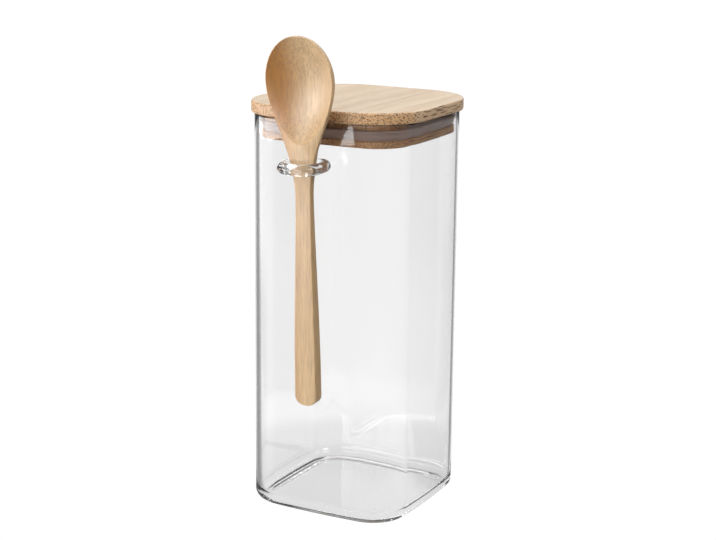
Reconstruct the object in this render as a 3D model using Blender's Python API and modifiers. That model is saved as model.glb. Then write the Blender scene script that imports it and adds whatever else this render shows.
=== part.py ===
"""Tall rounded-square glass storage jar with a bamboo lid and a bamboo spoon in a glass loop.

Metres, +Z up. The origin is the centre of the jar's flat base. The loop and the spoon are on the -Y side.
"""

import math

import bmesh
import bpy

# Jar
jar_side = 0.1000
jar_height = 0.2291
jar_corner_radius = 0.0245
jar_side_radius = 0.4840
jar_wall = 0.0022
jar_floor = 0.0036
base_edge_radius = 0.0051
floor_edge_radius = 0.0040
rim_round_share = 0.44

# Lid board
lid_overhang = 0.0035
lid_corner_extra = 0.0058
lid_side_radius = 2.0
lid_thickness = 0.0067
lid_edge_radius = 0.0010

# Plug under the board, and the groove round it
plug_clearance = 0.0021
plug_depth = 0.0136
plug_neck = 0.0037
plug_lip = 0.0036
plug_edge_chamfer = 0.0006
groove_depth = 0.0030
groove_overrun = 0.0010

# Seal in the groove, with a lip that leans out to the glass
seal_band_height = 0.0047
seal_recess = 0.0012
seal_lip_thickness = 0.0009
seal_lip_bend_share = 0.45
seal_lip_crown_share = 0.75

# Glass loop on the front wall, a ring whose squareness is 2 for an ellipse and more for a squarer shape
loop_rod_radius = 0.0031
loop_drop = 0.0233
loop_stand_off = 0.0114
loop_half_depth = 0.0124
loop_play = 0.0002
loop_squareness = 2.5

# Spoon, measured along its own length from the end of the handle
spoon_length = 0.2078
spoon_lean_degrees = 2.5
handle_end_width = 0.0135
handle_end_thickness = 0.0073
handle_end_round = 0.0053
neck_width = 0.0098
neck_thickness = 0.0040
neck_from_end = 0.1180
bowl_width = 0.0419
bowl_depth = 0.0120
bowl_top_length = 0.0245
bowl_tip_thickness = 0.0020
bowl_edge_thickness = 0.0012
bowl_forward = 0.0028
hollow_depth = 0.0092
hollow_rim = 0.0014
hollow_length = 0.0565
hollow_end_round = 0.0100
flare_share = 1.22
hollow_curve_share = 0.8
edge_thinning_share = 0.5
face_points_share = 0.9

# Clearances
touch_gap = 0.0003
cut_overrun = 0.0050

# Angles that count as an edge
smooth_below_degrees = 35
rim_edge_degrees = 60

# Shares of a length within which two points count as one
same_point_share = 0.01

# Counts of facets
side_steps = 4
corner_steps = 8
round_steps = 4
rim_steps = 3
lid_edge_steps = 3
chamfer_steps = 1
loop_steps = 48
loop_rod_steps = 3
seat_steps = 12
search_steps = 40
hollow_steps = 12
back_steps = 10
end_stations = 5
handle_stations = 9
flare_stations = 16
tip_stations = 9

half_side = jar_side / 2
lid_underside = jar_height + touch_gap
loop_height = jar_height - loop_drop


def glass_like(name, colour, roughness, transmission, index):
    material = bpy.data.materials.new(name)
    material.use_nodes = True
    shader = material.node_tree.nodes["Principled BSDF"]
    shader.inputs["Base Color"].default_value = (*colour, 1)
    shader.inputs["Roughness"].default_value = roughness
    shader.inputs["Metallic"].default_value = 0
    shader.inputs["Transmission Weight"].default_value = transmission
    shader.inputs["IOR"].default_value = index
    return material


def plain(name, colour, roughness):
    return glass_like(name, colour, roughness, 0, 1.5)


def new_collection(name):
    collection = bpy.data.collections.new(name)
    bpy.context.scene.collection.children.link(collection)
    return collection


def new_empty(name, collection, location, rotation=(0, 0, 0)):
    empty = bpy.data.objects.new(name, None)
    empty.location = location
    empty.rotation_euler = rotation
    collection.objects.link(empty)
    return empty


def new_object(name, shape, collection, material=None, parent=None):
    """Turns a bmesh into a named object, smooth on its round stretches."""
    mesh = bpy.data.meshes.new(name)
    bmesh.ops.recalc_face_normals(shape, faces=shape.faces)
    shape.to_mesh(mesh)
    shape.free()
    mesh.shade_smooth()
    mesh.set_sharp_from_angle(angle=math.radians(smooth_below_degrees))
    thing = bpy.data.objects.new(name, mesh)
    if material:
        mesh.materials.append(material)
    thing.parent = parent
    collection.objects.link(thing)
    return thing


def as_cutter(thing):
    thing.hide_render = True
    thing.display_type = "WIRE"
    return thing


def cut(thing, cutter):
    modifier = thing.modifiers.new("cut by " + cutter.name, "BOOLEAN")
    modifier.operation = "DIFFERENCE"
    modifier.object = cutter


def smoothstep(share):
    share = min(max(share, 0), 1)
    return share * share * (3 - 2 * share)


def rounded_square(half, side_radius, corner_radius, inset=0):
    """Points of a square with bowed sides and round corners, drawn in by inset all round."""
    side_centre = half - side_radius
    reach = side_radius - corner_radius
    corner_centre = (side_centre + math.sqrt(2 * reach**2 - side_centre**2)) / 2
    turn = math.atan2(corner_centre, corner_centre - side_centre)
    corner_turn = math.pi / 2 - 2 * turn
    points = []
    for quarter in range(4):
        spin = quarter * math.pi / 2
        stretch = []
        for step in range(side_steps):
            angle = turn * (2 * step / side_steps - 1)
            x = side_centre + (side_radius - inset) * math.cos(angle)
            stretch.append((x, (side_radius - inset) * math.sin(angle)))
        for step in range(corner_steps):
            angle = turn + corner_turn * step / corner_steps
            x = corner_centre + (corner_radius - inset) * math.cos(angle)
            stretch.append((x, corner_centre + (corner_radius - inset) * math.sin(angle)))
        for x, y in stretch:
            points.append(
                (x * math.cos(spin) - y * math.sin(spin), x * math.sin(spin) + y * math.cos(spin))
            )
    return points


def jar_outline(inset=0):
    return rounded_square(half_side, jar_side_radius, jar_corner_radius, inset)


def lid_outline():
    corner = jar_corner_radius + lid_overhang + lid_corner_extra
    return rounded_square(half_side + lid_overhang, lid_side_radius, corner)


def slab(outline, low, high):
    """A straight-sided solid on the outline, from low to high."""
    shape = bmesh.new()
    floor = shape.faces.new([shape.verts.new((x, y, low)) for x, y in outline])
    made = bmesh.ops.extrude_face_region(shape, geom=[floor], use_keep_orig=True)
    lifted = [item for item in made["geom"] if isinstance(item, bmesh.types.BMVert)]
    bmesh.ops.translate(shape, verts=lifted, vec=(0, 0, high - low))
    return shape


def round_edges(shape, height, radius, steps):
    """Rounds the outline's edge at one height."""
    near = radius * same_point_share
    edges = [edge for edge in shape.edges if all(abs(vert.co.z - height) < near for vert in edge.verts)]
    bmesh.ops.bevel(
        shape, geom=edges, offset=radius, offset_type="OFFSET", segments=steps, profile=0.5, affect="EDGES"
    )


def band(name, outline, low, high, thickness, collection):
    """A closed strip that follows the outline, thickness deep towards its inside."""
    shape = bmesh.new()
    corners = [shape.verts.new((x, y, low)) for x, y in outline]
    edges = [shape.edges.new((corners[i - 1], corners[i])) for i in range(len(corners))]
    made = bmesh.ops.extrude_edge_only(shape, edges=edges)
    lifted = [item for item in made["geom"] if isinstance(item, bmesh.types.BMVert)]
    bmesh.ops.translate(shape, verts=lifted, vec=(0, 0, high - low))
    strip = new_object(name, shape, collection)
    solidify = strip.modifiers.new("depth", "SOLIDIFY")
    solidify.thickness = thickness
    solidify.offset = -1
    solidify.use_even_offset = True
    return strip


def loft(sections):
    """A closed solid through sections with the same count of points, flat at each end."""
    shape = bmesh.new()
    rings = [[shape.verts.new(point) for point in section] for section in sections]
    for low, high in zip(rings, rings[1:]):
        for i in range(len(low)):
            shape.faces.new((low[i - 1], low[i], high[i], high[i - 1]))
    shape.faces.new(rings[0])
    shape.faces.new(rings[-1])
    return shape


def make_jar_body(parts, cutters, glass):
    shape = slab(jar_outline(), 0, jar_height)
    round_edges(shape, 0, base_edge_radius, round_steps)
    jar = new_object("jar_body", shape, parts, glass)
    inside = slab(jar_outline(jar_wall), jar_floor, jar_height + cut_overrun)
    round_edges(inside, jar_floor, floor_edge_radius, round_steps)
    cut(jar, as_cutter(new_object("jar_inside", inside, cutters)))
    rim = jar.modifiers.new("fire-polished rim", "BEVEL")
    rim.width = jar_wall * rim_round_share
    rim.segments = rim_steps
    rim.limit_method = "ANGLE"
    rim.angle_limit = math.radians(rim_edge_degrees)


def narrowing(off_centre):
    """The loop's width at a distance in front of or behind its middle, as a share of its width there."""
    return (1 - (off_centre / loop_half_depth) ** loop_squareness) ** (1 / loop_squareness)


def loop_half_width():
    """Half the loop's width to the middle of its rod. The end of the handle passes with some play."""
    room = handle_end_width / 2 + loop_play + loop_rod_radius
    return room / narrowing(handle_end_thickness / 2)


def rounded(share):
    """A cosine or sine, bent so that a circle drawn with it has the loop's squareness."""
    return math.copysign(abs(share) ** (2 / loop_squareness), share)


def make_spoon_loop(parts, cutters, glass):
    curve = bpy.data.curves.new("loop rod", "CURVE")
    curve.dimensions = "3D"
    curve.bevel_depth = loop_rod_radius
    curve.bevel_resolution = loop_rod_steps
    spline = curve.splines.new("POLY")
    spline.points.add(loop_steps - 1)
    spline.use_cyclic_u = True
    for step, point in enumerate(spline.points):
        angle = 2 * math.pi * step / loop_steps
        x = loop_half_width() * rounded(math.cos(angle))
        y = loop_half_depth * rounded(math.sin(angle)) - half_side - loop_stand_off
        point.co = (x, y, loop_height, 1)
    rod = bpy.data.objects.new("loop rod", curve)
    parts.objects.link(rod)
    bpy.context.view_layer.update()
    graph = bpy.context.evaluated_depsgraph_get()
    mesh = bpy.data.meshes.new_from_object(rod.evaluated_get(graph))
    shape = bmesh.new()
    shape.from_mesh(mesh)
    bpy.data.meshes.remove(mesh)
    bpy.data.objects.remove(rod)
    bmesh.ops.remove_doubles(shape, verts=shape.verts, dist=touch_gap * same_point_share)
    loop = new_object("spoon_loop", shape, parts, glass)
    low = loop_height - 2 * loop_rod_radius
    high = loop_height + 2 * loop_rod_radius
    wall = slab(jar_outline(-touch_gap), low, high)
    cut(loop, as_cutter(new_object("loop_feet", wall, cutters)))


def make_lid_board(parts, lid, bamboo):
    shape = slab(lid_outline(), 0, lid_thickness)
    round_edges(shape, 0, lid_edge_radius, lid_edge_steps)
    round_edges(shape, lid_thickness, lid_edge_radius, lid_edge_steps)
    new_object("lid_board", shape, parts, bamboo, lid)


def make_lid_plug(parts, cutters, lid, bamboo):
    inset = jar_wall + plug_clearance
    shape = slab(jar_outline(inset), -plug_depth, -touch_gap)
    round_edges(shape, -plug_depth, plug_edge_chamfer, chamfer_steps)
    plug = new_object("lid_plug", shape, parts, bamboo, lid)
    low = plug_lip - plug_depth
    outline = jar_outline(inset - groove_overrun)
    cutter = band("plug_groove", outline, low, -plug_neck, groove_depth + groove_overrun, cutters)
    cutter.parent = lid
    cut(plug, as_cutter(cutter))


def seal_profile():
    """Section as (distance out from the plug's side, height), the lip leaning up to the glass."""
    inner = touch_gap - groove_depth
    top = -plug_neck - touch_gap
    bottom = plug_lip - plug_depth + touch_gap
    band_foot = -plug_neck - seal_band_height
    tip = plug_clearance - touch_gap
    return [
        (inner, bottom),
        (-seal_recess, bottom),
        (-seal_recess, band_foot),
        (0, band_foot + touch_gap),
        (tip * seal_lip_bend_share, (band_foot + top) / 2),
        (tip, top - seal_lip_thickness),
        (tip, top - seal_lip_thickness / 2),
        (tip * seal_lip_crown_share, top),
        (inner, top),
    ]


def make_lid_seal(parts, lid, silicone):
    inset = jar_wall + plug_clearance
    shape = bmesh.new()
    rings = []
    for distance, height in seal_profile():
        rings.append([shape.verts.new((x, y, height)) for x, y in jar_outline(inset - distance)])
    for lower, upper in zip(rings, rings[1:] + rings[:1]):
        for i in range(len(lower)):
            shape.faces.new((lower[i - 1], lower[i], upper[i], upper[i - 1]))
    new_object("lid_seal", shape, parts, silicone, lid)


def half_width_at(along):
    """Half the spoon's width at a distance from the end of its handle."""
    end, neck, bowl = handle_end_width / 2, neck_width / 2, bowl_width / 2
    widest = spoon_length - bowl_top_length
    if along < neck_from_end:
        half = neck + (end - neck) * (1 - smoothstep((along / neck_from_end) ** flare_share))
        if along < handle_end_round:
            half *= math.sqrt(max(1 - (1 - along / handle_end_round) ** 2, 0))
        return half
    if along < widest:
        share = (along - neck_from_end) / (widest - neck_from_end)
        return neck + (bowl - neck) * smoothstep(share**flare_share)
    share = (along - widest) / bowl_top_length
    return bowl * math.sqrt(max(1 - share**2, 0))


def shoulder_gap(seat):
    """The least gap between spoon and rod, with this distance along the spoon in the loop."""
    rod = loop_half_width() * narrowing(neck_thickness / 2)
    gaps = []
    for step in range(seat_steps + 1):
        angle = math.pi / 2 * step / seat_steps
        side = half_width_at(seat + loop_rod_radius * math.sin(angle))
        gaps.append(rod - loop_rod_radius * math.cos(angle) - side)
    return min(gaps)


def seat_from_end():
    """How far from the end of the handle the spoon's shoulders rest in the loop."""
    low, high = neck_from_end, spoon_length - bowl_top_length
    for _ in range(search_steps):
        middle = (low + high) / 2
        if shoulder_gap(middle) > touch_gap:
            low = middle
        else:
            high = middle
    return low


def thickness_at(along):
    """The spoon's whole thickness at its middle line."""
    widest = spoon_length - bowl_top_length
    if along < neck_from_end:
        share = along / neck_from_end
        return neck_thickness + (handle_end_thickness - neck_thickness) * (1 - share**2)
    if along < widest:
        share = (along - neck_from_end) / (widest - neck_from_end)
        return neck_thickness + (bowl_depth - neck_thickness) * smoothstep(share)
    share = (along - widest) / bowl_top_length
    return bowl_tip_thickness + (bowl_depth - bowl_tip_thickness) * math.sqrt(max(1 - share**2, 0))


def edge_at(along):
    """The height of the spoon's square side: all of it on the handle, a thin rim on the bowl."""
    widest = spoon_length - bowl_top_length
    share = smoothstep((along - neck_from_end) / ((widest - neck_from_end) * edge_thinning_share))
    return thickness_at(along) * (1 - share) + bowl_edge_thickness * share


def front_at(along):
    """How far the front face stands forward of the handle's middle plane."""
    share = max(along - neck_from_end, 0) / (spoon_length - neck_from_end)
    middle = thickness_at(min(along, neck_from_end)) / 2
    return middle + bowl_forward * share


def hollow_half_width_at(along):
    start = spoon_length - hollow_rim - hollow_length
    stop = spoon_length - hollow_rim
    if not start < along < stop:
        return 0
    half = half_width_at(along) - hollow_rim
    if along < start + hollow_end_round:
        half *= math.sqrt(1 - (1 - (along - start) / hollow_end_round) ** 2)
    return max(half, 0)


def hollow_depth_at(along):
    start = spoon_length - hollow_rim - hollow_length
    share = (along - start) / hollow_length
    if not 0 < share < 1:
        return 0
    return hollow_depth * (4 * share * (1 - share)) ** hollow_curve_share


def spoon_section(along, seat):
    """One closed ring of points across the spoon: the front from left to right, then the back."""
    half, front, edge = half_width_at(along), front_at(along), edge_at(along)
    hollow, depth = hollow_half_width_at(along), hollow_depth_at(along)
    inner = hollow if hollow else half * face_points_share
    points = [(-half, -front)]
    for step in range(hollow_steps + 1):
        across = -math.cos(math.pi * step / hollow_steps)
        dip = depth * (1 - across**2) ** hollow_curve_share if hollow else 0
        points.append((inner * across, dip - front))
    points.append((half, -front))
    for step in range(back_steps + 1):
        across = math.cos(math.pi * step / back_steps)
        swell = (thickness_at(along) - edge) * math.sqrt(max(1 - across**2, 0))
        points.append((half * across, edge + swell - front))
    return [(x, y, along - seat) for x, y in points]


def spoon_stations():
    """Distances from the end of the handle at which the spoon's sections lie, closer where it curves."""
    widest = spoon_length - bowl_top_length
    stations = []
    for step in range(1, end_stations + 1):
        stations.append(handle_end_round * (1 - math.cos(math.pi / 2 * step / end_stations)))
    for step in range(1, handle_stations + 1):
        stations.append(handle_end_round + (neck_from_end - handle_end_round) * step / handle_stations)
    for step in range(1, flare_stations + 1):
        stations.append(neck_from_end + (widest - neck_from_end) * step / flare_stations)
    for step in range(1, tip_stations):
        stations.append(widest + bowl_top_length * math.sin(math.pi / 2 * step / tip_stations))
    return stations


def make_spoon(parts, hang, bamboo):
    seat = seat_from_end()
    shape = loft([spoon_section(along, seat) for along in spoon_stations()])
    new_object("spoon", shape, parts, bamboo, hang)


def main():
    for thing in list(bpy.data.objects):
        bpy.data.objects.remove(thing)
    parts = new_collection("storage_jar")
    cutters = new_collection("cutters")
    glass = glass_like("clear glass", (1, 1, 1), 0.02, 1, 1.47)
    silicone = glass_like("translucent silicone", (0.62, 0.58, 0.56), 0.45, 0.5, 1.41)
    board_bamboo = plain("pale bamboo", (0.74, 0.58, 0.42), 0.5)
    plug_bamboo = plain("darker bamboo", (0.50, 0.35, 0.22), 0.55)
    spoon_bamboo = plain("spoon bamboo", (0.68, 0.47, 0.27), 0.45)
    lid = new_empty("lid_lift", parts, (0, 0, lid_underside))
    hang_at = (0, -half_side - loop_stand_off, loop_height)
    hang = new_empty("spoon_draw", parts, hang_at, (math.radians(spoon_lean_degrees), 0, 0))
    make_jar_body(parts, cutters, glass)
    make_spoon_loop(parts, cutters, glass)
    make_lid_board(parts, lid, board_bamboo)
    make_lid_plug(parts, cutters, lid, plug_bamboo)
    make_lid_seal(parts, lid, silicone)
    make_spoon(parts, hang, spoon_bamboo)


main()
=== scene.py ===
import math

import bmesh
import bpy
from mathutils import Matrix, Vector


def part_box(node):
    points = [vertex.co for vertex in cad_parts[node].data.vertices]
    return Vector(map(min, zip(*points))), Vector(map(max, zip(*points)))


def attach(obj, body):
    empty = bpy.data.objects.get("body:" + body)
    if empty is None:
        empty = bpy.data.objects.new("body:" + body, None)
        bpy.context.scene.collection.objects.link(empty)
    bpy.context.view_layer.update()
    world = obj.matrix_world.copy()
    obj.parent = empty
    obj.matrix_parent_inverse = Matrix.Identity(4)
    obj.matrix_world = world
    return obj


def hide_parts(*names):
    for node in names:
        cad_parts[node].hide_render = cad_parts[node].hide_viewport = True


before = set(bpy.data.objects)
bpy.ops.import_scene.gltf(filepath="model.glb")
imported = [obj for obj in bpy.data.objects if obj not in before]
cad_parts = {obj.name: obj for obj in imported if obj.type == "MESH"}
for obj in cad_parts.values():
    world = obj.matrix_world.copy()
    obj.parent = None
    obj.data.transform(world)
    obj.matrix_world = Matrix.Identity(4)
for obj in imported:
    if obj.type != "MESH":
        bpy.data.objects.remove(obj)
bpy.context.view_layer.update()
scene = bpy.context.scene

# All sizes are in metres, and heights are above the surface that the jar stands on

# Jar: half its width, its height, and the radii of its bowed walls and of its upright corners
HALF = 0.0500
HEIGHT = 0.2291
SIDE_R = 0.4840
CORNER_R = 0.0235
WALL = 0.0022
FLOOR = 0.0026
# The outer round of the base, and the width and height of the inner one
BASE_ROUND = 0.0055
FLOOR_ROUND = 0.0060
FLOOR_RISE = 0.0070
# The shallow hollow under the base, and the run over which it gets its depth
PUNT = 0.0010
PUNT_RUN = 0.0100

# Lid, plug and seal
LID_Z = 0.2294
LID_OUT = 0.0035
LID_CORNER_R = 0.0338
LID_SIDE_R = 2.0
LID_THICK = 0.0067
LID_ROUND = 0.0010
PLUG_GAP = 0.0021
PLUG_DEPTH = 0.0136
PLUG_NECK = 0.0037
PLUG_LIP = 0.0036
PLUG_ROUND = 0.0006
GROOVE = 0.0030
GROOVE_ROUND = 0.0003
# Left free between the board, the plug and the seal
CLEARANCE = 0.0003
# From the underside of the board down to the foot of the seal's lip, and how far the lip's tip stands out
SEAL_FOOT = 0.0084
SEAL_TIP = 0.0018
# The back and the front of the seal's band, measured out from the plug's side
SEAL_BACK = -0.0027
SEAL_FRONT = -0.0012

# Ring: the rod's radius, the ring's place, its half depth and half width, and how square it is
RING_ROD = 0.0031
RING_Z = 0.2058
RING_Y = -0.0614
RING_DEEP = 0.0124
RING_WIDE = 0.01025
RING_SQUARE = 2.5
# How deep in the wall the rod ends
RING_END = 0.0010

# Spoon, in its own frame: +z along the handle from its end, -y to the front
SPOON_LENGTH = 0.2078
LEAN = math.radians(2.5)
NECK_AT = 0.1180
BOWL_TOP = 0.0245
WIDEST_AT = SPOON_LENGTH - BOWL_TOP
END_HALF, NECK_HALF, BOWL_HALF = 0.00675, 0.0049, 0.0209
END_ROUND = 0.0053
# The thickness at the neck, what the end and the bowl have on top of it, and the same at the bowl's tip
NECK_THICK, END_MORE, BOWL_MORE = 0.0040, 0.0033, 0.0080
TIP_THICK, TIP_MORE = 0.0016, 0.0104
# How far the bowl's front comes forward, and the thin edge of the bowl
FORWARD = 0.0028
BOWL_EDGE = 0.0010
# The bevels along the front, and the largest share of the spoon's half width that one takes
BEVEL = 0.0006
BEVEL_SHARE = 0.3
# The hollow: its length, the rim around it, its depth, and the run over which it widens
HOLLOW_LONG, HOLLOW_RIM, HOLLOW_DEEP = 0.0585, 0.0006, 0.0092
HOLLOW_START = SPOON_LENGTH - HOLLOW_RIM - HOLLOW_LONG
HOLLOW_STOP = SPOON_LENGTH - HOLLOW_RIM
HOLLOW_OPENS = 0.020
# Below the hollow its points close up over this run, from this share of the flat front to this half width
HOLLOW_CLOSES = 0.012
FLAT_FRONT_SHARE = 0.92
CLOSED_HALF = 0.0002
# How far down the narrow rim lies, and the share of the run from the neck to the widest place over which
# the back turns from the handle's section to the bowl's
RIM_DROP = 0.00005
GROW_SHARE = 0.45
# How square the back's section is, in the handle and in the bowl
HANDLE_SQUARE, BOWL_SQUARE = 12.0, 2.0
# The power that sets how late the outline widens, and those that shape the hollow along and across
WIDEN = 1.22
HOLLOW_SKEW, HOLLOW_FULL, HOLLOW_BLUNT = 0.92, 0.9, 0.8
DISH_FLAT, DISH_FULL = 2.2, 0.85

# Faces that meet at a steeper angle than this, in degrees, have a sharp edge
SHARP = 40.0


def outline(half, side_r, corner_r, inset, side_steps=24, corner_steps=28):
    """A square with bowed sides and round corners, counterclockwise, drawn in by inset."""
    side_c = half - side_r
    reach = side_r - corner_r
    corner_c = (side_c + math.sqrt(2 * reach ** 2 - side_c ** 2)) / 2
    turn = math.atan2(corner_c, corner_c - side_c)
    sweep = math.pi / 2 - 2 * turn
    points = []
    for quarter in range(4):
        c, s = math.cos(quarter * math.pi / 2), math.sin(quarter * math.pi / 2)
        stretch = []
        for i in range(side_steps):
            a = turn * (2 * i / side_steps - 1)
            stretch.append((side_c + (side_r - inset) * math.cos(a), (side_r - inset) * math.sin(a)))
        for i in range(corner_steps):
            a = turn + sweep * i / corner_steps
            stretch.append((corner_c + (corner_r - inset) * math.cos(a),
                            corner_c + (corner_r - inset) * math.sin(a)))
        points += [(x * c - y * s, x * s + y * c) for x, y in stretch]
    return points


def jar_ring(inset, z):
    return [Vector((x, y, z)) for x, y in outline(HALF, SIDE_R, CORNER_R, inset)]


def lid_ring(inset, z):
    return [Vector((x, y, z)) for x, y in outline(HALF + LID_OUT, LID_SIDE_R, LID_CORNER_R, inset)]


def scaled_ring(ring, share, z):
    return [Vector((p.x * share, p.y * share, z)) for p in ring]


def arc(cx, cy, r, a0, a1, steps):
    """Points of an arc, angles in degrees, both ends included."""
    out = []
    for i in range(steps + 1):
        a = math.radians(a0 + (a1 - a0) * i / steps)
        out.append((cx + r * math.cos(a), cy + r * math.sin(a)))
    return out


def smoothstep(t):
    t = min(max(t, 0.0), 1.0)
    return t * t * (3 - 2 * t)


def bulge(t):
    """A quarter of a circle: 1 at 0, and 0 at 1."""
    return math.sqrt(max(1 - t * t, 0))


def skin(name, rings, closed_loop=False, sharp=SHARP):
    """A closed mesh through rings of the same count of points, capped unless the last meets the first."""
    bm = bmesh.new()
    rows = [[bm.verts.new(p) for p in ring] for ring in rings]
    pairs = list(zip(rows, rows[1:]))
    if closed_loop:
        pairs.append((rows[-1], rows[0]))
    for low, high in pairs:
        for i in range(len(low)):
            bm.faces.new((low[i - 1], low[i], high[i], high[i - 1]))
    if not closed_loop:
        bm.faces.new(rows[0])
        bm.faces.new(rows[-1])
    bmesh.ops.recalc_face_normals(bm, faces=bm.faces)
    mesh = bpy.data.meshes.new(name)
    bm.to_mesh(mesh)
    bm.free()
    mesh.shade_smooth()
    mesh.set_sharp_from_angle(angle=math.radians(sharp))
    thing = bpy.data.objects.new(name, mesh)
    scene.collection.objects.link(thing)
    return thing


# Glass vessel and its ring
# Heights of the rings of points in the walls, closer together outside where the ring is fused on
OUTER_HEIGHTS = (0.012, 0.03, 0.08, 0.14, 0.19, 0.198, 0.2015, 0.2035,
                 0.2058, 0.2081, 0.2101, 0.2136, 0.220)
INNER_HEIGHTS = (0.215, 0.19, 0.14, 0.08, 0.03, 0.018)
# The rings of points across the floor, as shares of the way out to its rim
FLOOR_SHARES = [0.02, 0.2, 0.4, 0.5, 0.6] + [0.64 + 0.02 * k for k in range(18)]


def punt(share):
    """How far the middle of the base is pushed up, by the share of the way out to its rim."""
    return PUNT * smoothstep((1 - share) * HALF / PUNT_RUN)


def make_glass():
    """The vessel: up the outside, over the fire-polished rim, down the inside and across the floor."""
    base = jar_ring(BASE_ROUND, 0)
    rings = [scaled_ring(base, share, punt(share)) for share in FLOOR_SHARES]
    rings += [jar_ring(x, z) for x, z in arc(BASE_ROUND, BASE_ROUND, BASE_ROUND, 270, 180, steps=12)]
    rings += [jar_ring(0, z) for z in OUTER_HEIGHTS]
    mid = WALL / 2
    rings += [jar_ring(x, z) for x, z in arc(mid, HEIGHT - mid, mid, 180, 0, steps=10)]
    rings += [jar_ring(WALL, z) for z in INNER_HEIGHTS]
    for x, z in arc(1, 1, 1, 180, 270, steps=14):
        rings.append(jar_ring(WALL + FLOOR_ROUND * x, FLOOR + FLOOR_RISE * z))
    inner = jar_ring(WALL + FLOOR_ROUND, FLOOR)
    rings += [scaled_ring(inner, share, FLOOR) for share in reversed(FLOOR_SHARES)]
    return skin("glass_jar", rings)


def squared(v):
    """A sine or cosine, changed so that the ellipse that it draws has fuller corners."""
    return math.copysign(abs(v) ** (2 / RING_SQUARE), v)


def make_ring(count=160, around_rod=40):
    centres = []
    for i in range(count):
        a = 2 * math.pi * i / count
        centres.append(Vector((RING_WIDE * squared(math.cos(a)),
                               RING_Y + RING_DEEP * squared(math.sin(a)), RING_Z)))
    rings = []
    for i, centre in enumerate(centres):
        along = (centres[(i + 1) % count] - centres[i - 1]).normalized()
        out = Vector((along.y, -along.x, 0))
        ring = []
        for k in range(around_rod):
            a = 2 * math.pi * k / around_rod
            ring.append(centre + RING_ROD * (math.cos(a) * out + math.sin(a) * Vector((0, 0, 1))))
        rings.append(ring)
    return skin("ring_rod", rings, closed_loop=True)


def trim_ring(ring):
    """Cuts the rod off inside the wall."""
    bm = bmesh.new()
    bm.from_mesh(ring.data)
    geom = bm.verts[:] + bm.edges[:] + bm.faces[:]
    cut = bmesh.ops.bisect_plane(bm, geom=geom, plane_co=(0, -HALF + RING_END, 0), plane_no=(0, 1, 0),
                                 clear_outer=True)
    edges = [e for e in cut["geom_cut"] if isinstance(e, bmesh.types.BMEdge)]
    bmesh.ops.holes_fill(bm, edges=edges)
    bmesh.ops.recalc_face_normals(bm, faces=bm.faces)
    bm.to_mesh(ring.data)
    bm.free()


def join_glass(jar, ring):
    """Fuses the ring to the wall in one skin, and removes the ring's own object."""
    modifier = jar.modifiers.new("fused", "BOOLEAN")
    modifier.operation = "UNION"
    modifier.solver = "EXACT"
    modifier.object = ring
    graph = bpy.context.evaluated_depsgraph_get()
    mesh = bpy.data.meshes.new_from_object(jar.evaluated_get(graph))
    jar.modifiers.clear()
    jar.data = mesh
    mesh.name = "glass_jar"
    mesh.shade_smooth()
    mesh.set_sharp_from_angle(angle=math.radians(SHARP))
    bpy.data.objects.remove(ring)


# Lid
# The rings of points in the flats: one just inside the round, and one at this share of the way out
FLAT_INSET = 0.004
FLAT_SHARE = 0.5


def make_board():
    r = LID_ROUND
    top = LID_Z + LID_THICK
    rings = [scaled_ring(lid_ring(r, LID_Z), FLAT_SHARE, LID_Z), lid_ring(FLAT_INSET, LID_Z)]
    rings += [lid_ring(x, z) for x, z in arc(r, LID_Z + r, r, 270, 180, steps=5)]
    rings += [lid_ring(x, z) for x, z in arc(r, top - r, r, 180, 90, steps=6)]
    rings += [lid_ring(FLAT_INSET, top), scaled_ring(lid_ring(r, top), FLAT_SHARE, top)]
    return skin("lid_board_bamboo", rings, sharp=45)


def make_plug():
    side = WALL + PLUG_GAP
    low, high = LID_Z - PLUG_DEPTH, LID_Z - CLEARANCE
    groove_low, groove_high = low + PLUG_LIP, LID_Z - PLUG_NECK
    r, small = PLUG_ROUND, GROOVE_ROUND
    profile = [(side + FLAT_INSET, low)]
    profile += arc(side + r, low + r, r, 270, 180, steps=4)
    profile += arc(side + small, groove_low - small, small, 180, 90, steps=3)
    profile += [(side + GROOVE, groove_low), (side + GROOVE, groove_high)]
    profile += arc(side + small, groove_high + small, small, 270, 180, steps=3)
    profile += [(side, high), (side + FLAT_INSET, high)]
    middle = jar_ring(side, low)
    rings = [scaled_ring(middle, FLAT_SHARE, low)]
    rings += [jar_ring(x, z) for x, z in profile]
    rings += [scaled_ring(middle, FLAT_SHARE, high)]
    return skin("lid_plug_bamboo", rings, sharp=35)


def make_seal():
    """A ring with a flat band and one lip that leans up and out to the glass."""
    side = WALL + PLUG_GAP
    top = LID_Z - PLUG_NECK - CLEARANCE
    low = LID_Z - PLUG_DEPTH + PLUG_LIP + CLEARANCE
    foot, tip = LID_Z - SEAL_FOOT, SEAL_TIP
    # The section, as the distance out from the plug's side and the height
    section = [(SEAL_BACK, low), (SEAL_FRONT, low), (SEAL_FRONT, foot - 0.0004), (-0.0010, foot - 0.0001),
               (-0.0002, foot), (0.0000, foot + 0.0003), (0.0001, foot + 0.0014),
               (0.0004, foot + 0.0023), (0.0010, foot + 0.0031), (tip - 0.0001, top - 0.0009),
               (tip, top - 0.0006), (tip, top - 0.0003), (tip - 0.0002, top - 0.0001),
               (tip - 0.0005, top), (0.0006, top - 0.0002), (0.0000, top), (SEAL_BACK, top)]
    rings = [jar_ring(side - out, z) for out, z in section]
    return skin("lid_seal_silicone", rings, closed_loop=True, sharp=50)


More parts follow.
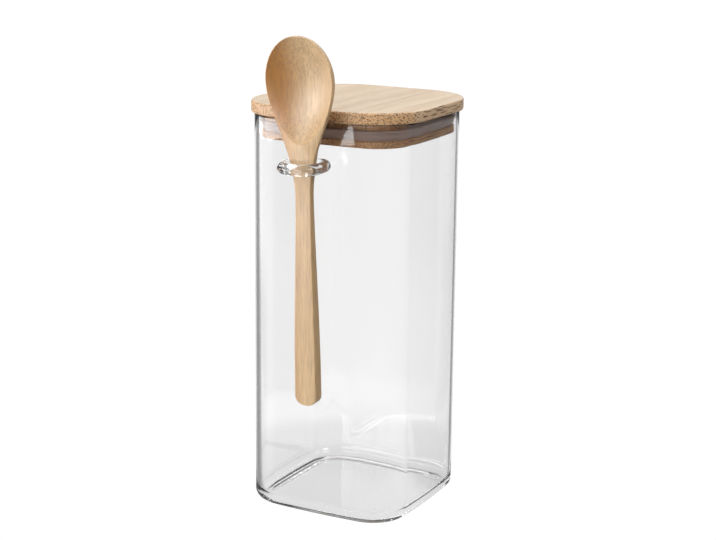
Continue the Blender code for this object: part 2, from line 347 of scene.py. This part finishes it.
# Spoon
def half_width(a):
    """Half the spoon's width, a from the handle's end."""
    if a < NECK_AT:
        half = NECK_HALF + (END_HALF - NECK_HALF) * (1 - smoothstep((a / NECK_AT) ** WIDEN))
        if a < END_ROUND:
            half += END_ROUND * (bulge(1 - a / END_ROUND) - 1)
        return half
    if a < WIDEST_AT:
        t = (a - NECK_AT) / (WIDEST_AT - NECK_AT)
        return NECK_HALF + (BOWL_HALF - NECK_HALF) * smoothstep(t ** WIDEN)
    return BOWL_HALF * bulge((a - WIDEST_AT) / BOWL_TOP)


def thickness(a):
    if a < NECK_AT:
        t = a / NECK_AT
        return NECK_THICK + END_MORE * (1 - t * t)
    if a < WIDEST_AT:
        t = (a - NECK_AT) / (WIDEST_AT - NECK_AT)
        return NECK_THICK + BOWL_MORE * smoothstep(t)
    return TIP_THICK + TIP_MORE * bulge((a - WIDEST_AT) / BOWL_TOP)


def front(a):
    """How far the front face is in front of the spoon's middle line."""
    middle = thickness(min(a, NECK_AT)) / 2
    return middle + FORWARD * max(a - NECK_AT, 0) / (SPOON_LENGTH - NECK_AT)


def hollow_share(a):
    """0 outside the hollow, rising from its lower end, and back to 0 at its top."""
    if not HOLLOW_START < a < HOLLOW_STOP:
        return 0.0
    t = (a - HOLLOW_START) / (HOLLOW_STOP - HOLLOW_START)
    return math.sin(math.pi * t ** HOLLOW_SKEW) ** HOLLOW_FULL


def hollow_half(a, half, bevel):
    """Half the width of the hollow, or of the points that become the hollow further up."""
    if HOLLOW_START < a < HOLLOW_STOP:
        inner = half - HOLLOW_RIM
        if a < HOLLOW_START + HOLLOW_OPENS:
            inner *= bulge(1 - (a - HOLLOW_START) / HOLLOW_OPENS) ** HOLLOW_BLUNT
        return max(min(inner, half - bevel * 0.5), 0.0)
    wide = (half - bevel) * FLAT_FRONT_SHARE - CLOSED_HALF
    return CLOSED_HALF + wide * smoothstep((HOLLOW_START - a) / HOLLOW_CLOSES)


def spoon_section(a, across_front=40, around_back=36):
    """The points around the spoon at a: left bevel, front or hollow, right bevel, and back."""
    half, fr, thick = half_width(a), front(a), thickness(a)
    bevel = min(BEVEL, half * BEVEL_SHARE)
    depth = HOLLOW_DEEP * hollow_share(a)
    inner = hollow_half(a, half, bevel)
    side, flat = (half, -fr + bevel), (half - bevel, -fr)
    slope = (half - bevel * 0.25, -fr + bevel * 0.35)
    if inner > half - bevel:
        # The hollow reaches the bevel, so the rim is a narrow line
        flat = ((inner + half) / 2, -fr + RIM_DROP)
    points = [(-x, y) for x, y in (side, slope, flat)]
    for k in range(across_front + 1):
        u = -math.cos(math.pi * k / across_front)
        points.append((inner * u, -fr + depth * (1 - abs(u) ** DISH_FLAT) ** DISH_FULL))
    points += [flat, slope, side]
    # The back: square in the handle, half an ellipse in the bowl
    grow = smoothstep((a - NECK_AT) / ((WIDEST_AT - NECK_AT) * GROW_SHARE))
    edge = (thick * 0.5) * (1 - grow) + BOWL_EDGE * grow
    square = HANDLE_SQUARE * (1 - grow) + BOWL_SQUARE * grow
    for k in range(around_back + 1):
        c, s = math.cos(math.pi * k / around_back), math.sin(math.pi * k / around_back)
        x = math.copysign(abs(c) ** (2 / square), c)
        points.append((half * x, -fr + edge + (thick - edge) * abs(s) ** (2 / square)))
    return points


def spoon_stations(end=14, handle=30, bowl=80, top=40, close=(0.0, 0.00004, 0.00012, 0.00025)):
    """Where the sections lie along the spoon, closer together where the hollow begins."""
    stations = [END_ROUND * (1 - math.cos(math.pi / 2 * k / end)) for k in range(end + 1)]
    stations += [END_ROUND + (NECK_AT - END_ROUND) * k / handle for k in range(1, handle + 1)]
    stations += [NECK_AT + (WIDEST_AT - NECK_AT) * k / bowl for k in range(1, bowl + 1)]
    stations += [WIDEST_AT + BOWL_TOP * math.sin(math.pi / 2 * k / top) for k in range(1, top)]
    return sorted(stations + [HOLLOW_START + step for step in close])


def make_spoon(top):
    """The spoon, leaning in the ring, with its highest point at a height."""
    lean = Matrix.Rotation(LEAN, 3, "X")
    rings = [[lean @ Vector((x, y, a)) for x, y in spoon_section(a)] for a in spoon_stations()]
    rise = top - max(p.z for ring in rings for p in ring)
    # Its own line passes through the middle of the ring
    move = Vector((0, RING_Y + (RING_Z - rise) * math.tan(LEAN), rise))
    return skin("spoon_bamboo", [[p + move for p in ring] for ring in rings], sharp=30)


# Materials
def new_material(name):
    material = bpy.data.materials.new(name)
    material.use_nodes = True
    tree = material.node_tree
    return material, tree, tree.nodes["Principled BSDF"]


class Graph:
    """A short way to write node trees."""

    def __init__(self, tree):
        self.tree = tree

    def node(self, kind, **settings):
        made = self.tree.nodes.new(kind)
        for key, value in settings.items():
            setattr(made, key, value)
        return made

    def link(self, source, target):
        self.tree.links.new(source, target)

    def put(self, value, socket):
        if isinstance(value, bpy.types.NodeSocket):
            self.link(value, socket)
        else:
            socket.default_value = value

    def math(self, operation, a, b=0.0):
        made = self.node("ShaderNodeMath", operation=operation)
        self.put(a, made.inputs[0])
        self.put(b, made.inputs[1])
        return made.outputs[0]

    def mix(self, share, a, b):
        made = self.node("ShaderNodeMix", data_type="RGBA")
        self.put(share, made.inputs[0])
        self.put(a, made.inputs[6])
        self.put(b, made.inputs[7])
        return made.outputs[2]

    def ramp(self, value, stops):
        made = self.node("ShaderNodeValToRGB")
        while len(made.color_ramp.elements) < len(stops):
            made.color_ramp.elements.new(0.5)
        for element, (at, colour) in zip(made.color_ramp.elements, stops):
            element.position = at
            element.color = (*colour, 1)
        self.put(value, made.inputs[0])
        return made.outputs[0]

    def range(self, value, a, b, c=0.0, d=1.0, kind="SMOOTHSTEP"):
        """Goes from c to d while value goes from a to b."""
        made = self.node("ShaderNodeMapRange", interpolation_type=kind)
        for at, v in enumerate((value, a, b, c, d)):
            self.put(v, made.inputs[at])
        return made.outputs[0]

    def between(self, share, a, b):
        """Goes from a to b with a share of 0 to 1."""
        return self.range(share, 0.0, 1.0, a, b, kind="LINEAR")

    def scaled(self, vector, scale):
        made = self.node("ShaderNodeMapping")
        self.put(vector, made.inputs[0])
        made.inputs["Scale"].default_value = scale
        return made.outputs[0]

    def noise(self, vector, scale, detail, rough=0.5):
        made = self.node("ShaderNodeTexNoise")
        self.put(vector, made.inputs["Vector"])
        made.inputs["Scale"].default_value = scale
        made.inputs["Detail"].default_value = detail
        made.inputs["Roughness"].default_value = rough
        return made.outputs["Fac"]

    def cells(self, vector, scale):
        made = self.node("ShaderNodeTexVoronoi")
        self.put(vector, made.inputs["Vector"])
        made.inputs["Scale"].default_value = scale
        return made.outputs["Distance"]

    def split(self, vector):
        made = self.node("ShaderNodeSeparateXYZ")
        self.put(vector, made.inputs[0])
        return made.outputs

    def dot(self, vector, direction):
        made = self.node("ShaderNodeVectorMath", operation="DOT_PRODUCT")
        self.put(vector, made.inputs[0])
        made.inputs[1].default_value = direction
        return made.outputs["Value"]

    def bump(self, height, strength, distance, shader):
        made = self.node("ShaderNodeBump")
        made.inputs["Strength"].default_value = strength
        made.inputs["Distance"].default_value = distance
        self.link(height, made.inputs["Height"])
        self.link(made.outputs[0], shader.inputs["Normal"])


def rgb(r, g, b):
    """sRGB 0 to 255 as linear."""
    out = []
    for v in (r, g, b):
        v /= 255
        out.append(v / 12.92 if v <= 0.04045 else ((v + 0.055) / 1.055) ** 2.4)
    return (*out, 1.0)


# The width of the bamboo's glued strips, the spacing of its fibre bundles, how many times longer than wide
# its marks are, and how far the fibres of a strip are moved along against those of the next
STRIP = 0.0072
BUNDLE = 0.00088
STRETCH = 14
SHIFT = 0.37
# The slopes of the surface between which it comes to show the ends of the fibres, or the side of the wood
END_SLOPE = (0.10, 0.45)
SIDE_SLOPE = (0.5, 0.8)
# Places across the spoon: all of the painted shade, and none
PAINTED_SHADE_SIDE = (-0.016, 0.001)


def bamboo(name, along, across, pale, deep, dark, lines, dots, vary, rough,
           strip=STRIP, lean=0.0, sides=0.0, cut=None, painted_shade=None, gloss=0.5, coat=0.0):
    """Bamboo with its fibres along one axis: glued strips, fine fibres, and dots where the fibres end."""
    material, tree, shader = new_material(name)
    g = Graph(tree)
    place = g.node("ShaderNodeTexCoord")
    turned = g.node("ShaderNodeVectorRotate", rotation_type="X_AXIS")
    g.link(place.outputs["Object"], turned.inputs["Vector"])
    turned.inputs["Angle"].default_value = -lean
    point = turned.outputs[0]
    axis = {"X": 0, "Y": 1, "Z": 2}
    sideways = g.split(point)[axis[across]]
    # Each strip has its own tone and its own stretch of fibres
    index = g.math("FLOOR", g.math("DIVIDE", sideways, strip))
    white = g.node("ShaderNodeTexWhiteNoise", noise_dimensions="1D")
    g.link(index, white.inputs["W"])
    slide = g.node("ShaderNodeCombineXYZ")
    g.link(g.math("MULTIPLY", index, SHIFT), slide.inputs[axis[along]])
    moved = g.node("ShaderNodeVectorMath", operation="ADD")
    g.link(point, moved.inputs[0])
    g.link(slide.outputs[0], moved.inputs[1])
    long_scale = [1.0, 1.0, 1.0]
    long_scale[axis[along]] = 1 / STRETCH
    fibre_at = g.scaled(moved.outputs[0], long_scale)
    # Slow clouds of tone, soft streaks, and the dark bundles of fibres
    slow = g.noise(fibre_at, scale=110, detail=2)
    streak = g.noise(fibre_at, scale=900, detail=2, rough=0.6)
    mark = g.range(g.cells(fibre_at, 1.0 / BUNDLE), 0.24, 0.46, 1, 0)
    normal = g.split(place.outputs["Normal"])
    facing = g.math("ABSOLUTE", normal[axis[along]])
    side = g.math("ABSOLUTE", normal[axis[across]])
    end = g.math("MAXIMUM", g.range(facing, *END_SLOPE),
                 g.math("MULTIPLY", g.range(side, *SIDE_SLOPE), sides))
    colour = g.mix(g.range(slow, 0.35, 0.65), pale, deep)
    if cut:
        # Where the fibres end, the wood is a deeper brown
        brown = g.math("MAXIMUM", g.range(facing, *END_SLOPE, 0.0, 0.9),
                       g.range(side, *SIDE_SLOPE, 0.0, 0.4))
        colour = g.mix(brown, colour, cut)
    if painted_shade:
        # Painted shade: the left side of the spoon, where the wall of the hollow lies in shade, is made
        # deeper and more orange
        colour = g.mix(g.range(sideways, *PAINTED_SHADE_SIDE, 0.9, 0.0), colour, painted_shade)
    colour = g.mix(g.math("MULTIPLY", white.outputs["Value"], vary), colour, dark)
    colour = g.mix(g.math("MULTIPLY", g.range(streak, 0.35, 0.68), lines), colour, dark)
    colour = g.mix(g.math("MULTIPLY", mark, g.between(end, lines, dots)), colour, dark)
    g.link(colour, shader.inputs["Base Color"])
    shader.inputs["Roughness"].default_value = rough
    shader.inputs["IOR"].default_value = 1.5
    shader.inputs["Specular IOR Level"].default_value = gloss
    shader.inputs["Coat Weight"].default_value = coat
    shader.inputs["Coat Roughness"].default_value = 0.56
    shader.inputs["Coat IOR"].default_value = 1.9
    relief = g.math("ADD", g.math("MULTIPLY", streak, 0.6), g.math("MULTIPLY", mark, -0.5))
    g.bump(relief, strength=0.3, distance=0.0002, shader=shader)
    return material


def board_wood():
    return bamboo("board_bamboo", "Y", "X", rgb(220, 198, 169), rgb(208, 181, 148), rgb(70, 38, 18),
                  lines=0.10, dots=1.00, vary=0.05, rough=0.42, sides=0.8, cut=rgb(214, 170, 124))


def plug_wood():
    return bamboo("plug_bamboo", "Y", "X", rgb(224, 175, 129), rgb(210, 157, 110), rgb(84, 48, 24),
                  lines=0.12, dots=0.80, vary=0.10, rough=0.60, sides=0.8)


def spoon_wood():
    """One stick, so its strip is far wider than the spoon."""
    return bamboo("spoon_bamboo", "Z", "X", rgb(213, 176, 121), rgb(199, 160, 105), rgb(118, 76, 38),
                  lines=0.24, dots=0.45, vary=0.0, rough=0.50, strip=0.5, lean=LEAN,
                  # Painted shade: a deep orange for the spoon's left side
                  painted_shade=rgb(187, 120, 10), gloss=1.0, coat=1.0)


def clear_glass():
    material, tree, shader = new_material("clear_glass")
    g = Graph(tree)
    shader.inputs["Roughness"].default_value = 0.0
    shader.inputs["IOR"].default_value = 1.47
    shader.inputs["Transmission Weight"].default_value = 1.0
    facing = g.node("ShaderNodeLayerWeight")
    facing.inputs["Blend"].default_value = 0.5
    # Painted shade: the glass is darker where it is seen edge-on, in place of the dark refractions along
    # its silhouettes
    painted_edge_shade = g.ramp(facing.outputs["Facing"], [(0.0, (0.998, 0.998, 0.999)), (0.60, (0.992, 0.991, 0.994)),
                                             (0.90, (0.95, 0.945, 0.96)), (1.0, (0.70, 0.69, 0.72))])
    g.link(painted_edge_shade, shader.inputs["Base Color"])
    return material


def grey_silicone():
    material, tree, shader = new_material("grey_silicone")
    g = Graph(tree)
    place = g.node("ShaderNodeTexCoord").outputs["Object"]
    cloud = g.noise(place, scale=90, detail=3)
    g.link(g.mix(cloud, rgb(198, 175, 163), rgb(187, 164, 153)), shader.inputs["Base Color"])
    shader.inputs["Roughness"].default_value = 0.38
    shader.inputs["IOR"].default_value = 1.42
    shader.inputs["Subsurface Weight"].default_value = 0.25
    shader.inputs["Subsurface Radius"].default_value = (0.0012, 0.001, 0.001)
    shader.inputs["Subsurface Scale"].default_value = 1.0
    g.bump(g.noise(place, scale=1800, detail=2), strength=0.1, distance=0.0001, shader=shader)
    return material


# Pieces
jar = make_glass()
ring = make_ring()
trim_ring(ring)
join_glass(jar, ring)
jar.data.materials.clear()
jar.data.materials.append(clear_glass())
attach(jar, "jar")
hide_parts("jar_body", "spoon_loop")

board = make_board()
board.data.materials.append(board_wood())
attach(board, "lid")
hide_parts("lid_board")

plug = make_plug()
plug.data.materials.append(plug_wood())
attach(plug, "lid")
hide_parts("lid_plug")

seal = make_seal()
seal.data.materials.append(grey_silicone())
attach(seal, "lid")
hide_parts("lid_seal")

spoon_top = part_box("spoon")[1].z
spoon = make_spoon(spoon_top)
spoon.data.materials.append(spoon_wood())
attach(spoon, "spoon")
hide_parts("spoon")


# Studio: what the camera sees of it is plain white, and the rest lights the pieces and draws the glass.
# Directions from the jar to the backdrop, and across in front of it
BACKDROP = (-0.473, 0.881)
ACROSS = (0.881, 0.473)
# The brightness that the camera sees, and that of the grey cards
SEEN = 1.03
CARD = 0.30
# Brightness by azimuth from the front, in degrees, negative to the left. The room has a white backdrop
# behind the jar, a grey card at each side of it, and is dim elsewhere
ROOM = [(-180, CARD), (-176, 1.0), (-128, 1.0), (-122, CARD), (-98, CARD), (-90, 0.30), (-45, 0.30),
        (-33, 0.04), (90, 0.04), (158, 0.08), (164, CARD), (180, CARD)]
# The floor, far from the jar and near it
FAR = [(-180, CARD), (-176, 1.0), (-128, 1.0), (-122, CARD), (-98, CARD), (-90, 1.2), (-42, 1.2),
       (-34, 0.30), (-20, 0.04), (90, 0.04), (100, 0.12), (158, 0.12), (164, CARD), (180, CARD)]
NEAR = [(-180, 1.0), (-122, 1.0), (-90, 0.95), (-42, 0.75), (-33, 0.30), (-20, 0.15), (90, 0.15),
        (150, 0.40), (180, 1.0)]
# What shows through the glass stays pale all round, so that the jar is clear from every side
CLEAR = [(-180, CARD), (-176, 1.0), (-128, 1.0), (-122, CARD), (-98, CARD), (-90, 0.85), (158, 0.85),
         (164, CARD), (180, CARD)]
CLEAR_FLOOR = 0.85
# The ceiling, the slopes upward between which it begins, and how much of it the bends of the glass show
HIGH = [(-180, 1.0), (-110, 0.95), (-85, 0.45), (120, 0.45), (150, 0.9), (180, 1.0)]
CEILING = (0.10, 0.45)
CEILING_SEEN = 0.65
# Distances from the jar's middle: the floor under it and its brightness, dimmer toward the middle as a
# painted shadow, the floor beside it, the far floor
UNDER, PAINTED_SHADOW_LIT = (0.035, 0.100), (0.74, 0.87)
BESIDE = (0.110, 0.150)
AWAY = (0.45, 0.80)
# The cards on the floor begin this far across, further out toward the backdrop, and this far behind
CARD_ACROSS, CARD_SPREAD, CARD_BEHIND = (0.056, 0.062), 0.38, (-0.03, 0.0)
FLOOR_HALF = 12.0
FLOOR_DROP = 0.0002


def around_jar(g, vector, stops):
    """A brightness that goes with the azimuth of a place or direction."""
    parts = g.split(vector)
    angle = g.math("ARCTAN2", parts[0], g.math("MULTIPLY", parts[1], -1.0))
    share = g.range(angle, -math.pi, math.pi, kind="LINEAR")
    return g.ramp(share, [((at + 180) / 360, (value,) * 3) for at, value in stops])


def seen_through(g, path):
    """1 for what shows through the glass, and 0 for what lights or mirrors in the pieces."""
    bounced = g.math("ADD", path.outputs["Diffuse Depth"], path.outputs["Glossy Depth"])
    direct = g.math("LESS_THAN", bounced, 0.5)
    return g.math("MULTIPLY", path.outputs["Is Transmission Ray"], direct)


def make_floor():
    """A floor that glows, so that nothing casts a shadow on it, but with a painted shadow under the jar."""
    mesh = bpy.data.meshes.new("floor")
    s = FLOOR_HALF
    mesh.from_pydata([(-s, -s, 0), (s, -s, 0), (s, s, 0), (-s, s, 0)], [], [(0, 1, 2, 3)])
    floor = bpy.data.objects.new("floor", mesh)
    scene.collection.objects.link(floor)
    floor.location.z = -FLOOR_DROP
    material = bpy.data.materials.new("floor_white")
    material.use_nodes = True
    g = Graph(material.node_tree)
    material.node_tree.nodes.clear()
    out = g.node("ShaderNodeOutputMaterial")
    path = g.node("ShaderNodeLightPath")
    place = g.node("ShaderNodeTexCoord").outputs["Object"]
    length = g.node("ShaderNodeVectorMath", operation="LENGTH")
    g.link(place, length.inputs[0])
    distance = length.outputs["Value"]
    # Painted shadow: the floor under the jar is dimmer toward its middle
    shadow_under = g.range(distance, *UNDER, *PAINTED_SHADOW_LIT)
    through = seen_through(g, path)
    near = g.math("MAXIMUM", around_jar(g, place, NEAR), g.math("MULTIPLY", through, CLEAR_FLOOR))
    lit = g.between(g.range(distance, *BESIDE), shadow_under, near)
    # The cards begin where the camera doesn't see the floor through the jar
    aside = g.math("ABSOLUTE", g.dot(place, (*ACROSS, 0)))
    behind = g.dot(place, (*BACKDROP, 0))
    beyond = g.math("SUBTRACT", aside, g.math("MULTIPLY", behind, CARD_SPREAD))
    carded = g.math("MULTIPLY", g.range(beyond, *CARD_ACROSS), g.range(behind, *CARD_BEHIND))
    lit = g.between(carded, lit, CARD)
    room = g.between(through, around_jar(g, place, FAR), around_jar(g, place, CLEAR))
    lit = g.between(g.range(distance, *AWAY), lit, room)
    glow = g.node("ShaderNodeEmission")
    glow.inputs["Color"].default_value = (1, 1, 1, 1)
    g.link(g.between(path.outputs["Is Camera Ray"], lit, SEEN), glow.inputs["Strength"])
    g.link(glow.outputs[0], out.inputs[0])
    floor.data.materials.append(material)


def make_world():
    world = bpy.data.worlds.new("studio")
    scene.world = world
    world.use_nodes = True
    g = Graph(world.node_tree)
    back = world.node_tree.nodes["Background"]
    path = g.node("ShaderNodeLightPath")
    direction = g.node("ShaderNodeTexCoord").outputs["Generated"]
    room = g.between(seen_through(g, path), around_jar(g, direction, ROOM), around_jar(g, direction, CLEAR))
    # The bends of the glass show a dimmer ceiling, which draws the lines of its base
    bent = g.math("MULTIPLY", path.outputs["Is Transmission Ray"],
                  g.math("LESS_THAN", path.outputs["Diffuse Depth"], 0.5))
    high = g.math("MULTIPLY", around_jar(g, direction, HIGH), g.between(bent, 1.0, CEILING_SEEN))
    # The ceiling is above all that the upright walls of the jar reflect
    ceiling = g.range(g.split(direction)[2], *CEILING)
    lit = g.between(ceiling, room, high)
    back.inputs["Color"].default_value = (1, 1, 1, 1)
    g.link(g.between(path.outputs["Is Camera Ray"], lit, SEEN), back.inputs["Strength"])


def area(name, place, target, width, height, radiance):
    light = bpy.data.lights.new(name, "AREA")
    light.shape = "RECTANGLE"
    light.size = width
    light.size_y = height
    light.energy = radiance * math.pi * width * height
    lamp = bpy.data.objects.new(name, light)
    scene.collection.objects.link(lamp)
    lamp.location = place
    lamp.rotation_euler = (Vector(target) - Vector(place)).to_track_quat("-Z", "Y").to_euler()


def around(azimuth, distance, z):
    """A place at an angle from the front, negative to the left."""
    a = math.radians(azimuth)
    return (distance * math.sin(a), -distance * math.cos(a), z)


def panel(name, azimuth, z, width, height, radiance, distance=1.12):
    """An upright light that looks straight at the jar."""
    area(name, around(azimuth, distance, z), (0, 0, z), width, height, radiance)


def light_the_set():
    # A low, wide light at the left in three panels. Their lower edge ends their reflection under the plug
    panel("left panel", azimuth=-76, z=0.168, width=0.55, height=0.260, radiance=5.0)
    panel("middle panel", azimuth=-47.5, z=0.168, width=0.57, height=0.260, radiance=8.5)
    panel("right panel", azimuth=-26.6, z=0.166, width=0.240, height=0.264, radiance=7.6)
    middle = (0, 0, 0.16)
    # The key light, too high for the jar's upright walls to reflect, and a softer one overhead
    area("key", around(-8, 1.20, 0.60), middle, width=1.00, height=0.50, radiance=4.2)
    area("top softbox", (-0.2, -0.1, 1.3), (0, 0, 0.2), width=1.2, height=1.2, radiance=1.1)
    # A high light at the right, for the edge of the board and the side of the spoon
    area("right card", around(75, 1.20, 0.95), middle, width=0.60, height=0.45, radiance=9.5)


def add_camera():
    """The camera, from a fit to the photograph's edges: azimuth, elevation and roll in radians."""
    azimuth, elevation, roll = 0.49262, 0.24082, 0.0103
    place = (0.45354, -0.84320, 0.37037)
    back = Vector((math.sin(azimuth) * math.cos(elevation), -math.cos(azimuth) * math.cos(elevation),
                   math.sin(elevation)))
    right = Vector((math.cos(azimuth), math.sin(azimuth), 0))
    up = back.cross(right)
    right, up = (math.cos(roll) * right + math.sin(roll) * up,
                 -math.sin(roll) * right + math.cos(roll) * up)
    data = bpy.data.cameras.new("camera")
    data.sensor_fit = "HORIZONTAL"
    data.sensor_width = 36
    data.lens = 85.13
    data.clip_end = 100
    camera = bpy.data.objects.new("camera", data)
    scene.collection.objects.link(camera)
    turn = Matrix((right, up, back)).transposed().to_4x4()
    camera.matrix_world = Matrix.Translation(place) @ turn
    scene.camera = camera


make_floor()
make_world()
light_the_set()
add_camera()

scene.view_settings.view_transform = "Standard"
scene.view_settings.look = "None"
scene.cycles.transmission_bounces = 24
scene.cycles.glossy_bounces = 24
scene.cycles.max_bounces = 32
scene.cycles.use_denoising = True
